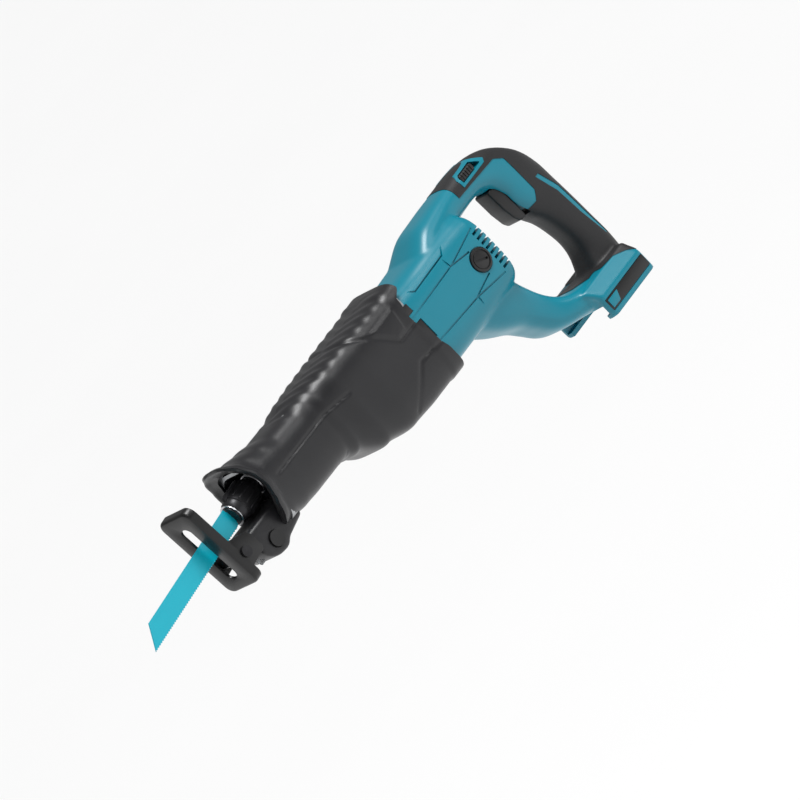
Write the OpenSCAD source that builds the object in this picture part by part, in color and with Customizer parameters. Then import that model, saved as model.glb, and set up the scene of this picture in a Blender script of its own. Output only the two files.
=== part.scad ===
// Cordless reciprocating saw, 18 V class, without its battery.
// Frame: +X points to the blade tip along the body, +Y to the left side, +Z up, in millimetres.
// The origin is where the blade line passes through the working face of the shoe.

/* [Overall] */
// Width of the motor housing
body_w = 76; // [66:1:90]
// Width of the front barrel
barrel_w = 62; // [58:1:72]
// Height of the front barrel
barrel_h = 65; // [62:1:74]
// Distance from the shoe face back to the side rim of the nose opening
nose_reach = 62; // [58:1:75]
// Length of the rubber boot from that rim to its rear edge
boot_len = 213; // [212:1:240]
// Length of the motor housing behind the boot
motor_len = 104; // [100:1:130]
// Clear depth of the hand loop, front to back
loop_depth = 68; // [55:1:90]
// Depth of the grip, front to back
grip_depth = 37; // [32:1:46]
// Width of the grip over its soft layer
grip_w = 34; // [30:1:42]
// Height of the handle's top above the body datum
handle_top = 34; // [32:1:42]
// Drop of the battery foot's underside below the datum
foot_drop = 141; // [135:1:165]
// Angle of the blade line, nose down from the body line
blade_tilt = 4; // [2:0.5:4.5]

/* [Shells] */
// Wall of the plastic clamshell
shell_t = 3; // [2.4:0.2:3.6]
// Wall of the rubber boot
boot_t = 2.5; // [2:0.1:3]
// Wall of the cast gear housing
cast_t = 3; // [2.6:0.1:3.6]
// Thickness of the soft layer on the handle
grip_t = 2.2; // [1.6:0.2:3]

/* [Blade and clamp] */
// Blade length ahead of the shoe face
blade_reach = 98; // [60:1:200]
// Height of the blade
blade_h = 18; // [16:0.5:22]
// Thickness of the blade
blade_t = 1.3; // [0.9:0.1:1.6]
// Pitch of the teeth
tooth_pitch = 2.5; // [1.8:0.1:4]
// Radius of the blade clamp's core
holder_r = 9; // [8.5:0.1:9.5]
// Outer radius of the turning clamp sleeve
sleeve_r = 12.5; // [12:0.1:13.5]
// Distance from the shoe face back to the front of the clamp
clamp_back = 40; // [36:1:42]

/* [Drive] */
// Stroke of the plunger
stroke = 32; // [26:1:32]
// Diameter of the plunger rod
rod_d = 14; // [12:0.5:15]
// Radius of the roller on the crank pin
roller_r = 6; // [5:0.5:6.5]
// Radius of the crank gear
gear_r = 28; // [26:0.5:29]
// Teeth on the crank gear
gear_teeth = 38; // [32:1:44]
// Teeth on the motor pinion
pinion_teeth = 10; // [8:1:12]
// Outside diameter of the motor can
can_d = 58; // [50:1:60]
// Length of the motor can
can_len = 42; // [36:1:44]
// Diameter of the armature shaft
shaft_d = 8; // [7:0.5:9]
// Diameter of the brush caps
cap_d = 21; // [16:0.5:24]

/* [Shoe] */
// Width of the shoe plate
shoe_w = 44; // [40:1:52]
// Height of the shoe plate
shoe_h = 83; // [76:1:92]
// Sheet thickness of the shoe
shoe_t = 2.5; // [2:0.1:3]
// Width of the slot that the blade passes through
slot_w = 13; // [9:0.5:16]
// Diameter of the shoe's hinge pin
pin_d = 6; // [5:0.5:8]
// Forward travel of the shoe
shoe_travel = 30; // [20:1:34]

/* [Controls] */
// Height of the trigger's finger face
trigger_h = 38; // [30:1:42]
// Width of the trigger
trigger_w = 21; // [16:0.5:22]
// Travel of the trigger
trigger_travel = 7; // [4:0.5:8]
// Length of the lock-off button along the handle
lock_len = 18; // [14:0.5:20]
// Height of the lock-off button
lock_h = 6.5; // [5:0.5:7.5]

/* [Battery foot] */
// Width of the foot
foot_w = 76; // [70:1:84]
// Length of the foot
foot_len = 66; // [60:1:72]
// Width between the two rail lips
rail_gap = 54; // [50:1:58]
// Depth of the battery channel
rail_depth = 13; // [10:0.5:15]

/* [Fits] */
// Radial clearance of a shaft running in a bush
run_gap = 0.04; // [0.02:0.01:0.09]
// Clearance round a fixed piece in its seat
seat_gap = 0.15; // [0.1:0.05:0.3]
// Clearance round a piece that slides or turns freely
move_gap = 0.5; // [0.35:0.05:0.8]

/* [Hidden] */
$fn = 48;
e = 0.01;

// Stations along the body, front to back
x_rim = -nose_reach;
x_boot = x_rim - boot_len;
x_motor = x_boot - motor_len;
x_grip = x_motor - loop_depth;
x_rear = x_grip - grip_depth;

// Heights of the barrel, the gear part of the boot and the motor housing
barrel_top = 27.5;
barrel_low = barrel_top - barrel_h;
gear_top = 27;
gear_low = -66;
gear_w = body_w - 1;
motor_z = -21;
motor_top = 20.5;
motor_low = 2 * motor_z - motor_top;
z_foot = -foot_drop;
z_floor = z_foot + 35;

// Where the barrel swells into the gear part
x_swell = x_rim - 92;
x_gear = x_rim - 146;

// Clamp, rod and crank along the blade line
x_clamp = -clamp_back;
holder_len = 44;
x_holder = x_clamp - holder_len;
x_bush1 = x_holder - stroke - 5;
bush_len = 14;
x_bush2 = x_bush1 - bush_len - 13;
x_rod_end = x_bush2 - bush_len - 13;
bush_r = rod_d / 2 + 4;
crank_r = stroke / 2;
x_crank = x_boot + 37;
x_yoke = x_crank + crank_r;
yoke_play = crank_r * 0.2105 + 0.35;
yoke_slot = 2 * (roller_r + yoke_play);
yoke_wall = 6;
z_yoke = -3;
yoke_t = 11;
z_gear = z_yoke - yoke_t - 3;
gear_t = 11;
tooth_h = 3;
crank_shaft_r = 6;
z_bear1 = z_gear - gear_t - 5;
bear1_h = 8;
bear1_r = 11;
z_bear2 = z_gear - gear_t - 22;
bear2_h = 8;
bear2_r = 12;

// Motor along its own axis, front to back
x_fbear = x_boot - 3;
fbear_len = 8;
fbear_r = 11;
x_fan = x_boot - 16;
fan_len = 9;
fan_r = 27;
x_can = x_boot - 29;
x_comm = x_can - can_len - 4;
comm_len = 15;
comm_r = 12.5;
x_brush = x_comm - 7.5;
x_rbear = x_motor + 11;
rbear_len = 7;
rbear_r = 8;
core_r = can_d / 2 - 6.6;
pinion_len = 19;
pinion_r = 7.4;
x_pinion = x_boot + 22;

// Shoe and its holder along the blade line
pin_x = -12;
pin_z = -19;
ear_reach = 27;
shoe_top = 41;
slot_top = 27;
slot_low = -30;
holder_w = 18;
bar_t = 6;
bar_z = -27;
bar_len = 80;
chin_w = shoe_w - 2 * shoe_t - 4;
button_r = 7;
button_x = -45;
button_z = -32.5;
spring_r = 3.5;
led_x = -36;
led_z = -38;
led_r = 3.5;

// Trigger, switch and foot
x_trig = x_grip + 11;
trig_z = -36;
x_switch = x_grip - 3;
foot_front = x_rear + 6 + foot_len;
foot_rear = x_rear + 6;
rail_lip = 4;
lead_d = 2.6;

// ---- helpers ----

module on_blade_line() { rotate([0, blade_tilt, 0]) children(); }

// A solid between two stations along X, from a section drawn in Y and Z
module along_x(x0, x1) {
  translate([min(x0, x1), 0, 0]) rotate([90, 0, 90]) linear_extrude(abs(x1 - x0)) children();
}

// A solid across the width, from a side view drawn in X and Z
module across(w) { rotate([90, 0, 0]) linear_extrude(w, center = true) children(); }

module rounded(w, z0, z1, r) {
  h = z1 - z0;
  translate([-w / 2 + r, z0]) square([w - 2 * r, h]);
  translate([-w / 2, z0 + r]) square([w, h - 2 * r]);
  for (y = [-w / 2 + r, w / 2 - r], z = [z0 + r, z1 - r]) translate([y, z]) circle(r);
}

// Corner points of a rounded section, all on flat facets so that lofted runs meet exactly
function corner_points(w, z0, z1, r, n = 6) = [for (c = [[1, 1, 0], [-1, 1, 90], [-1, -1, 180], [1, -1, 270]],
  i = [0:n]) [c[0] * (w / 2 - r) + r * cos(c[2] + i * 90 / n),
    (c[1] > 0 ? z1 - r : z0 + r) + r * sin(c[2] + i * 90 / n)]];

module faceted(w, z0, z1, r) { polygon(corner_points(w, z0, z1, r)); }

module rod_x(x0, x1, r) { translate([min(x0, x1), 0, 0]) rotate([0, 90, 0]) cylinder(abs(x1 - x0), r = r); }

module ring_x(x0, x1, ro, ri) {
  difference() {
    rod_x(x0, x1, ro);
    rod_x(min(x0, x1) - 1, max(x0, x1) + 1, ri);
  }
}

module rod_y(x, z, y0, y1, r) {
  translate([x, max(y0, y1), z]) rotate([90, 0, 0]) cylinder(abs(y1 - y0), r = r);
}

module block(x, y, z) {
  translate([min(x[0], x[1]), min(y[0], y[1]), min(z[0], z[1])])
    cube([abs(x[1] - x[0]), abs(y[1] - y[0]), abs(z[1] - z[0])]);
}

module half(side) {
  intersection() {
    children();
    block([x_rear - 50, 50], [0, side * 100], [-300, 150]);
  }
}

module at_motor() { translate([0, 0, motor_z]) children(); }

module at_crank() { on_blade_line() translate([x_crank, 0, 0]) children(); }

// ---- nose: boot and cast gear housing ----

module barrel_section(inset) { faceted(barrel_w - 2 * inset, barrel_low + inset, barrel_top - inset, 21 - inset); }

module gear_section(inset) { faceted(gear_w - 2 * inset, gear_low + inset, gear_top - inset, 17 - inset); }

// The long body of the nose, drawn in by inset all round
module nose_body(inset, front, back) {
  if (front > x_swell) along_x(x_swell, front) barrel_section(inset);
  hull() {
    along_x(x_swell, x_swell - 1) barrel_section(inset);
    along_x(x_gear, back) gear_section(inset);
  }
}

// The flared collar round the clamp: its rim leans forward at the top
module collar(inset) {
  hull() {
    translate([x_rim + 5, 0, 11]) rotate([0, 14, 0])
      along_x(-3, inset > 0 ? 2 : 0) faceted(barrel_w + 1 - 2 * inset, -28.5 + inset, 28.5 - inset, 24 - inset);
    along_x(x_rim - 24, x_rim - 23) faceted(barrel_w - 1 - 2 * inset, -30 + inset, barrel_top - 0.5 - inset, 21 - inset);
  }
}

module chin() {
  hull() {
    for (x = [-42, x_rim + 8]) rod_y(x, -31, -chin_w / 2, chin_w / 2, 13.5);
    block([x_rim - 4, x_rim], [-chin_w / 2, chin_w / 2], [barrel_low + 1, -20]);
  }
}

module shoe_bar_space(gap) {
  on_blade_line() block([-bar_len - 26, -10], [-holder_w / 2 - gap, holder_w / 2 + gap],
    [bar_z - gap, bar_z + bar_t + gap]);
}

module boot() {
  color([0.16, 0.16, 0.17]) difference() {
    union() {
      nose_body(0, x_rim, x_boot);
      collar(0);
      chin();
    }
    nose_body(boot_t, x_rim - 4, x_boot - 1);
    collar(4);
    on_blade_line() rod_x(x_rim - 20, -20, sleeve_r + 4);
    shoe_bar_space(move_gap);
    rod_y(button_x, button_z, 2, 40, button_r + move_gap);
    translate([0, 0, led_z]) rod_x(led_x - 2, 0, led_r + seat_gap);
  }
}

module gear_housing() {
  skin = boot_t + seat_gap;
  inner = skin + cast_t;
  color([0.62, 0.63, 0.64]) difference() {
    union() {
      difference() {
        union() {
          nose_body(skin, x_rim - 6, x_boot);
          along_x(x_boot - 13, x_boot)
            faceted(body_w - 2 * shell_t - 2 * seat_gap - 0.4, motor_low + shell_t + seat_gap,
              motor_top - shell_t - seat_gap, 20);
        }
        // Nose chamber, rear chamber and the space between the two bushes
        along_x(x_rim + 1, x_rim - 52) barrel_section(inner);
        along_x(x_bush1 - bush_len - 3, x_bush2 + 3) barrel_section(inner);
        intersection() {
          nose_body(inner, x_swell, x_boot + 2);
          block([x_boot - 5, x_bush2 - bush_len - 2], [-60, 60], [-90, 60]);
        }
        on_blade_line() rod_x(x_rim, x_bush1 + 2.5, sleeve_r + 3);
        on_blade_line() rod_x(x_bush2 - bush_len, x_rod_end - stroke - 14, rod_d / 2 + 1);
      }
      // Carriers for the two crank bearings
      intersection() {
        nose_body(inner - 1, x_swell, x_boot);
        at_crank() union() {
          translate([-12, -50, z_bear1 - bear1_h]) cube([24, 100, 6]);
          translate([0, 0, z_bear1 - bear1_h]) cylinder(bear1_h + 1, r = bear1_r + 1.4);
          translate([0, 0, -90]) cylinder(90 + z_bear2, r = bear2_r + 3);
        }
      }
    }
    on_blade_line() rod_x(x_bush1, x_bush1 - bush_len, bush_r + seat_gap);
    on_blade_line() rod_x(x_bush2, x_bush2 - bush_len, bush_r + seat_gap);
    on_blade_line() rod_x(x_bush1 + 3, x_bush2 - bush_len - 6, rod_d / 2 + 1);
    on_blade_line() rod_x(x_bush1, x_bush1 + 2, rod_d / 2 + 3 + seat_gap);
    shoe_bar_space(move_gap);
    at_crank() {
      translate([0, 0, z_bear1 - bear1_h]) cylinder(bear1_h + 2, r = bear1_r + seat_gap);
      translate([0, 0, z_bear1 - bear1_h - 2]) cylinder(3, r = crank_shaft_r + 1.5);
      translate([0, 0, z_bear2 - bear2_h]) cylinder(bear2_h + 1, r = bear2_r + seat_gap);
      translate([0, 0, z_bear2 - bear2_h - 3]) cylinder(4, r = crank_shaft_r + 1.5);
    }
    at_motor() rod_x(x_fbear, x_boot - 20, fbear_r + seat_gap);
    at_motor() rod_x(x_boot - 20, x_boot + 10, shaft_d / 2 + 4);
    for (s = casting_screws()) translate([0, s[0], s[1]]) rod_x(x_boot - 20, x_boot + 10, 2.1);
  }
}

function casting_screws() = [for (y = [-1, 1], z = [motor_low + 12, motor_top - 11]) [y * (body_w / 2 - 14), z]];

module gear_housing_screws() {
  color([0.75, 0.75, 0.78]) for (s = casting_screws()) translate([0, s[0], s[1]]) {
    rod_x(x_boot - 13, x_boot + 1, 2);
    rod_x(x_boot - 13, x_boot - 16, 3.6);
  }
}

module front_bush() {
  color([0.72, 0.58, 0.3]) on_blade_line() ring_x(x_bush1, x_bush1 - bush_len, bush_r, rod_d / 2 + run_gap);
}

module rear_bush() {
  color([0.72, 0.58, 0.3]) on_blade_line() ring_x(x_bush2, x_bush2 - bush_len, bush_r, rod_d / 2 + run_gap);
}

module rod_seal() {
  color([0.12, 0.12, 0.12]) on_blade_line()
    ring_x(x_bush1 + seat_gap, x_bush1 + 2, rod_d / 2 + 3, rod_d / 2 + run_gap);
}

module crank_bearing_upper() {
  color([0.8, 0.8, 0.82]) at_crank() translate([0, 0, z_bear1 - bear1_h]) difference() {
    cylinder(bear1_h, r = bear1_r);
    translate([0, 0, -1]) cylinder(bear1_h + 2, r = crank_shaft_r + run_gap);
  }
}

module crank_bearing_lower() {
  color([0.8, 0.8, 0.82]) at_crank() translate([0, 0, z_bear2 - bear2_h]) difference() {
    cylinder(bear2_h, r = bear2_r);
    translate([0, 0, -1]) cylinder(bear2_h + 2, r = crank_shaft_r + run_gap);
  }
}

// ---- drive: crank, plunger, blade clamp ----

module crank_gear() {
  color([0.55, 0.55, 0.58]) at_crank() {
    difference() {
      union() {
        translate([0, 0, z_gear - gear_t]) cylinder(gear_t, r = gear_r);
        for (i = [0:gear_teeth - 1]) rotate([0, 0, i * 360 / gear_teeth])
          translate([gear_r - 8, -0.75, z_gear - gear_t - tooth_h]) cube([7.5, 1.5, tooth_h + 1]);
        translate([crank_r, 0, z_gear - 1]) cylinder(z_yoke - z_gear + 1, r = roller_r - 2);
      }
      translate([0, 0, z_gear - gear_t - 1]) cylinder(gear_t + 2, r = crank_shaft_r);
      for (a = [-35, 0, 35]) rotate([0, 0, a]) translate([crank_r, 0, z_gear - gear_t - 1])
        if (a != 0) cylinder(gear_t + 2, r = 4);
    }
  }
}

module crank_shaft() {
  color([0.7, 0.7, 0.72]) at_crank() translate([0, 0, z_bear2 - bear2_h - 1])
    cylinder(z_gear - z_bear2 + bear2_h + 1, r = crank_shaft_r);
}

module crank_roller() {
  color([0.78, 0.78, 0.8]) at_crank() translate([crank_r, 0, z_yoke - yoke_t]) difference() {
    cylinder(yoke_t, r = roller_r);
    translate([0, 0, -1]) cylinder(yoke_t + 2, r = roller_r - 2 + run_gap);
  }
}

module plunger_rod() {
  color([0.72, 0.73, 0.75]) on_blade_line() rod_x(x_holder, x_rod_end, rod_d / 2);
}

module crosshead() {
  w = stroke + 2 * roller_r + 2 * move_gap;
  color([0.5, 0.5, 0.53]) on_blade_line() difference() {
    union() {
      block([x_rod_end - 5, x_rod_end + 9], [-9, 9], [z_yoke - yoke_t, rod_d / 2 - 2]);
      block([x_rod_end, x_yoke + yoke_slot / 2], [-9, 9], [z_yoke - yoke_t, z_yoke]);
      block([x_yoke - yoke_slot / 2 - yoke_wall, x_yoke + yoke_slot / 2 + yoke_wall],
        [-w / 2 - yoke_wall, w / 2 + yoke_wall], [z_yoke - yoke_t, z_yoke]);
    }
    block([x_yoke - yoke_slot / 2, x_yoke + yoke_slot / 2], [-w / 2, w / 2], [z_yoke - yoke_t - 1, z_yoke + 1]);
    rod_x(x_rod_end, x_rod_end + 12, rod_d / 2);
  }
}

module blade_holder() {
  color([0.3, 0.3, 0.32]) on_blade_line() difference() {
    rod_x(x_clamp, x_holder, holder_r);
    block([x_clamp + 1, x_clamp - 21], [-blade_t / 2 - seat_gap, blade_t / 2 + seat_gap], [-6, 6]);
    rod_y(x_clamp - 12, 0, -3, holder_r + 2, 2.2);
    ring_x(x_clamp - 1, x_clamp - 2.2, holder_r + 1, holder_r - 1);
  }
}

module blade() {
  teeth = floor((blade_reach - x_clamp - 4) / tooth_pitch);
  color([0.05, 0.68, 0.76]) on_blade_line() difference() {
    across(blade_t) polygon(concat(
      [[x_clamp - 20, -5.5], [x_clamp - 20, 5.5], [x_clamp + 0.5, 5.5], [x_clamp + 1, blade_h / 2],
        [blade_reach - blade_h * 0.82, blade_h / 2], [blade_reach, -blade_h / 2]],
      [for (i = [0:teeth - 1], p = [0, 1]) [blade_reach - (i + 0.5 + p * 0.3) * tooth_pitch,
        -blade_h / 2 + (p == 0 ? 1.1 : 0)]],
      [[x_clamp + 1, -blade_h / 2 + 1], [x_clamp + 0.5, -5.5]]));
    rod_y(x_clamp - 12, 0, -2, 2, 2.2);
  }
}

module clamp_spring() {
  color([0.7, 0.7, 0.7]) on_blade_line() for (i = [0:3]) translate([x_holder + 4 + i * 1.5, 0, 0])
    rotate([0, 90, 0]) rotate_extrude() translate([holder_r + 1, 0]) circle(0.9, $fn = 16);
}

module clamp_ring() {
  color([0.75, 0.75, 0.77]) on_blade_line() ring_x(x_clamp - 1.1, x_clamp - 2.1, holder_r + 1.6, holder_r - 0.9);
}

// Cam outline inside the sleeve: it lets the pin out as the sleeve turns
function cam_point(a) = let (r = holder_r + 1 + min(1, max(0, a / 60)) * 2) [r * cos(a), r * sin(a)];

module clamp_sleeve() {
  front = x_clamp - 2.6;
  color([0.2, 0.2, 0.22]) on_blade_line() difference() {
    union() {
      rod_x(front, front - 28, sleeve_r);
      for (i = [0:11]) rotate([i * 30, 0, 0]) block([front - 4, front - 24], [-0.8, 0.8], [sleeve_r - 2, sleeve_r + 0.7]);
      block([front - 2, front - 26], [-2, 2], [sleeve_r - 2, sleeve_r + 2.4]);
    }
    rod_x(front + 1, front - 30, holder_r + 0.25);
    translate([x_clamp - 15, 0, 0]) rotate([90, 0, 90]) linear_extrude(6)
      polygon(concat([[0, 0]], [for (a = [-20:5:80]) cam_point(a)]));
  }
}

module blade_pin() {
  color([0.8, 0.8, 0.82]) on_blade_line() rod_y(x_clamp - 12, 0, -blade_t / 2 - 0.35, holder_r - 0.1, 2.15);
}

// ---- motor ----

module armature_shaft() {
  color([0.7, 0.7, 0.72]) at_motor() rod_x(x_pinion - pinion_len + 4, x_rbear - rbear_len, shaft_d / 2);
}

module pinion() {
  color([0.6, 0.6, 0.62]) at_motor() difference() {
    union() {
      rod_x(x_pinion, x_pinion - pinion_len, pinion_r - 2.2);
      for (i = [0:pinion_teeth - 1]) rotate([i * 360 / pinion_teeth, 0, 0])
        block([x_pinion, x_pinion - pinion_len + 3], [-0.9, 0.9], [pinion_r - 3, pinion_r]);
    }
    rod_x(x_pinion - pinion_len + 4, x_pinion - pinion_len - 4, shaft_d / 2);
  }
}

module armature_core() {
  slots = 12;
  color([0.42, 0.43, 0.45]) at_motor() difference() {
    rod_x(x_can - 4, x_can - can_len + 6, core_r);
    rod_x(x_can, x_can - can_len, shaft_d / 2);
    for (i = [0:slots - 1]) rotate([i * 360 / slots, 0, 0])
      block([x_can, x_can - can_len], [-1, 1], [core_r - 6, core_r + 1]);
  }
}

module armature_windings() {
  color([0.72, 0.38, 0.16]) at_motor() {
    ring_x(x_can - 0.5, x_can - 4, core_r - 2, shaft_d / 2);
    ring_x(x_can - can_len + 6, x_comm + 0.5, core_r - 2.5, shaft_d / 2);
  }
}

module commutator() {
  bars = 24;
  color([0.75, 0.45, 0.2]) at_motor() difference() {
    rod_x(x_comm, x_comm - comm_len, comm_r);
    rod_x(x_comm + 1, x_comm - comm_len - 1, shaft_d / 2);
    for (i = [0:bars - 1]) rotate([i * 360 / bars, 0, 0])
      block([x_comm - 2, x_comm - comm_len - 1], [-0.3, 0.3], [comm_r - 1, comm_r + 1]);
  }
}

module fan() {
  blades = 14;
  color([0.15, 0.15, 0.16]) at_motor() difference() {
    union() {
      rod_x(x_fan, x_fan - 1.6, fan_r);
      rod_x(x_fan, x_fan - fan_len, 8);
      for (i = [0:blades - 1]) rotate([i * 360 / blades, 0, 0])
        block([x_fan - 1, x_fan - fan_len], [-0.7, 0.7], [6, fan_r - 1]);
    }
    rod_x(x_fan + 1, x_fan - fan_len - 1, shaft_d / 2);
  }
}

module motor_bearing_front() {
  color([0.8, 0.8, 0.82]) at_motor() ring_x(x_fbear, x_fbear - fbear_len, fbear_r, shaft_d / 2 + run_gap);
}

module motor_bearing_rear() {
  color([0.8, 0.8, 0.82]) at_motor() ring_x(x_rbear, x_rbear - rbear_len, rbear_r, shaft_d / 2 + run_gap);
}

module motor_can() {
  color([0.5, 0.5, 0.52]) at_motor() ring_x(x_can, x_can - can_len, can_d / 2, can_d / 2 - 2.6);
}

module magnets() {
  ro = can_d / 2 - 2.6;
  color([0.25, 0.25, 0.27]) at_motor() difference() {
    ring_x(x_can - 2, x_can - can_len + 2, ro, ro - 3.4);
    for (s = [-1, 1]) block([x_can, x_can - can_len], [-9, 9], [s * 12, s * 40]);
  }
}

module fan_baffle() {
  color([0.2, 0.2, 0.21]) at_motor() ring_x(x_can + 2.6, x_can + 0.6, body_w / 2 - shell_t - 1, 15);
}

module brush_holders() {
  color([0.78, 0.66, 0.35]) at_motor() for (s = [-1, 1]) difference() {
    block([x_brush - 5, x_brush + 5], [s * (comm_r + 2), s * (body_w / 2 - 8)], [-6, 6]);
    block([x_brush - 3.2, x_brush + 3.2], [s * comm_r, s * body_w / 2], [-4.2, 4.2]);
  }
}

module carbon_brushes() {
  color([0.2, 0.2, 0.2]) at_motor() for (s = [-1, 1])
    block([x_brush - 3, x_brush + 3], [s * (comm_r + 0.15), s * (comm_r + 13)], [-4, 4]);
}

module brush_cap(side) {
  color([0.17, 0.16, 0.17]) at_motor() difference() {
    union() {
      rod_y(x_brush, 0, side * (body_w / 2 - 7.5), side * (body_w / 2 + 0.6), cap_d / 2 - 1.5);
      rod_y(x_brush, 0, side * (body_w / 2 - 1), side * (body_w / 2 + 1), cap_d / 2);
    }
    block([x_brush - 7, x_brush + 7], [side * (body_w / 2 - 0.4), side * (body_w / 2 + 2)], [-0.8, 0.8]);
  }
}

module brush_cap_left() { brush_cap(1); }

module brush_cap_right() { brush_cap(-1); }

// ---- clamshell housing ----

arm_x = x_boot - 41;

// Side outline of the motor housing, neck, arm and handle
module side_outline() {
  corner = [x_rear + 51, handle_top - 58];
  polygon(concat(
    [[x_boot - 1, motor_top], [x_boot - 52, motor_top], [x_boot - 64, motor_top + 4],
      [x_boot - 84, handle_top]],
    [for (a = [0:10:90]) corner + [-51 * sin(a), 58 * cos(a)]],
    [[x_rear - 0.5, z_floor + 40], [x_rear, z_floor - 6], [foot_rear, z_floor - 17],
      [foot_rear, z_foot + 6], [foot_front, z_foot + 6],
      [foot_front + 8, z_floor - 21], [foot_front + 50, z_floor - 10], [foot_front + 55, z_floor],
      [arm_x - 33, z_floor + 16], [arm_x, motor_low], [x_boot - 1, motor_low]]));
}

// The hand loop, as the opening seen from the side
module loop_outline() {
  top = handle_top - 27;
  polygon([[x_motor - 2, -2], [x_motor - 14, top], [x_trig + 1, top], [x_trig + 1, trig_z - 1],
    [x_grip - 5, trig_z - 9], [x_grip - 12, z_floor + 14], [x_grip - 9, z_floor + 5], [x_grip - 2, z_floor],
    [x_motor - 18, z_floor], [x_motor - 5, z_floor + 38], [x_motor - 1, z_floor + 60], [x_motor + 1, motor_z - 4],
    [x_motor, motor_z + 8]]);
}

module handle_zone() {
  polygon([[x_motor - 18, handle_top + 1], [x_rear - 5, handle_top + 1], [x_rear - 5, z_floor - 17],
    [x_motor - 12, z_floor - 1], [x_motor - 12, z_floor + 6], [x_motor - 18, 0]]);
}

module foot_solid(inset) {
  w = foot_w / 2 - inset;
  hull() {
    block([foot_rear + inset, foot_front + 10 - inset], [-grip_w / 2 - 4 + inset, grip_w / 2 + 4 - inset],
      [z_floor - inset, z_floor - 2]);
    block([foot_rear + inset, foot_front - inset], [-w, w], [z_floor - 14, z_foot]);
  }
}

// Outer form of both half shells together
module shell_form(inset) {
  hw = body_w / 2 - inset;
  intersection() {
    union() {
      along_x(x_boot - 1, x_motor + 1 + inset) rounded(2 * hw, motor_low + inset, motor_top - inset, 20);
      across(body_w - 2 * inset - 18) offset(delta = -inset) side_outline();
      hull() {
        along_x(x_boot - 84, x_boot - 86) rounded(44 - 2 * inset, -10, handle_top - inset, 8);
        along_x(x_boot - 60, x_boot - 62) rounded(50 - 2 * inset, -10, motor_top + 3 - inset, 8);
        along_x(x_motor - 22, x_motor - 24) rounded(grip_w - 2 * inset, -10, handle_top - inset, 8);
      }
      foot_solid(inset);
    }
    union() {
      across(200) offset(delta = -inset) difference() {
        side_outline();
        loop_outline();
      }
      foot_solid(inset);
    }
    // Slim handle behind, full width at the motor and the foot
    union() {
      block([x_motor - 14, 0], [-60, 60], [-200, 100]);
      block([-600, 0], [-60, 60], [-200, z_floor]);
      block([-600, 0], [-grip_w / 2 + inset, grip_w / 2 - inset], [-200, 100]);
    }
  }
}

function screw_posts() = [[x_boot - 21, motor_top - 7], [x_boot - 21, motor_low + 7], [x_motor - 14, 24],
  [x_motor - 4, z_floor + 6], [x_rear + 10.5, z_floor + 8], [x_rear + 16, -62], [x_rear + 34, 10]];

module screw_holes() {
  for (p = screw_posts()) {
    rod_y(p[0], p[1], -60, 9, 2.1);
    rod_y(p[0], p[1], -60, -9, 3.8);
  }
}

// What stands inside the shells: screw posts and the cradles of the can and the rear bearing
module shell_ribs() {
  for (p = screw_posts()) rod_y(p[0], p[1], -60, 60, 5);
  for (x = [x_can - 6, x_can - can_len + 9]) along_x(x, x - 3) difference() {
    square([200, 200], center = true);
    translate([0, motor_z]) circle(can_d / 2 + seat_gap);
  }
  along_x(x_motor, x_rbear - rbear_len + 5) difference() {
    square([200, 200], center = true);
    translate([0, motor_z]) circle(rbear_r + seat_gap);
    translate([-13, 7.5]) square([26, 8.5]);
  }
  // Ceiling of the battery channel
  block([foot_rear, foot_front], [-foot_w / 2, foot_w / 2], [z_foot + rail_depth, z_foot + rail_depth + 3]);
}

module shell_solid() {
  difference() {
    shell_form(0);
    difference() {
      shell_form(shell_t);
      shell_ribs();
    }
    // Socket for the rear spigot of the gear housing
    along_x(x_boot + 5, x_boot - 13.3)
      rounded(body_w - 2 * shell_t + 2 * seat_gap, motor_low + shell_t - seat_gap, motor_top - shell_t + seat_gap, 20);
    screw_holes();
    at_motor() {
      rod_y(x_brush, 0, -60, 60, cap_d / 2 - 1.5 + seat_gap);
      for (s = [-1, 1])
        rod_y(x_brush, 0, s * (body_w / 2 - 1 - seat_gap), s * (body_w / 2 + 3), cap_d / 2 + seat_gap);
    }
    // Cooling slots in the rear wall
    for (i = [0:7]) block([x_motor - 8, x_motor + 3.5], [-24, 24], [motor_low + 13 + i * 7.5, motor_low + 16.5 + i * 7.5]);
    // Trigger and lock-off openings
    block([x_trig + 8, x_switch - 2], [-trigger_w / 2 - move_gap, trigger_w / 2 + move_gap],
      [trig_z - move_gap, trig_z + trigger_h + move_gap]);
    lock_cut(move_gap);
    // Battery channel, open to the front and below
    block([foot_rear + 8, foot_front + 30], [-rail_gap / 2, rail_gap / 2], [z_foot - 1, z_foot + rail_depth]);
    block([foot_rear + 8, foot_front + 30], [-rail_gap / 2 - 5, rail_gap / 2 + 5],
      [z_foot + rail_lip, z_foot + rail_depth]);
    block([x_rear + 20, x_rear + 52], [-16, 16], [z_foot + rail_depth - 1, z_foot + rail_depth + 9]);
  }
}

// The part of the foot that stays hard plastic, ahead of the soft layer's tail
module foot_keep(gap) { block([foot_rear + 2 - gap, x_motor - 8], [-60, 60], [z_foot - 1, z_floor - 1 + gap]); }

// The plastic core under the soft layer
module shell_core(gap) {
  across(grip_w - 2 * grip_t + 2 * gap) offset(delta = -grip_t + gap) difference() {
    side_outline();
    loop_outline();
  }
}

module housing_half(side) {
  color([0, 0.5, 0.58]) half(side) difference() {
    shell_solid();
    difference() {
      across(200) offset(delta = 0.02) handle_zone();
      shell_core(0);
      foot_keep(0);
    }
  }
}

module housing_left() { housing_half(1); }

module housing_right() { housing_half(-1); }

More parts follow.
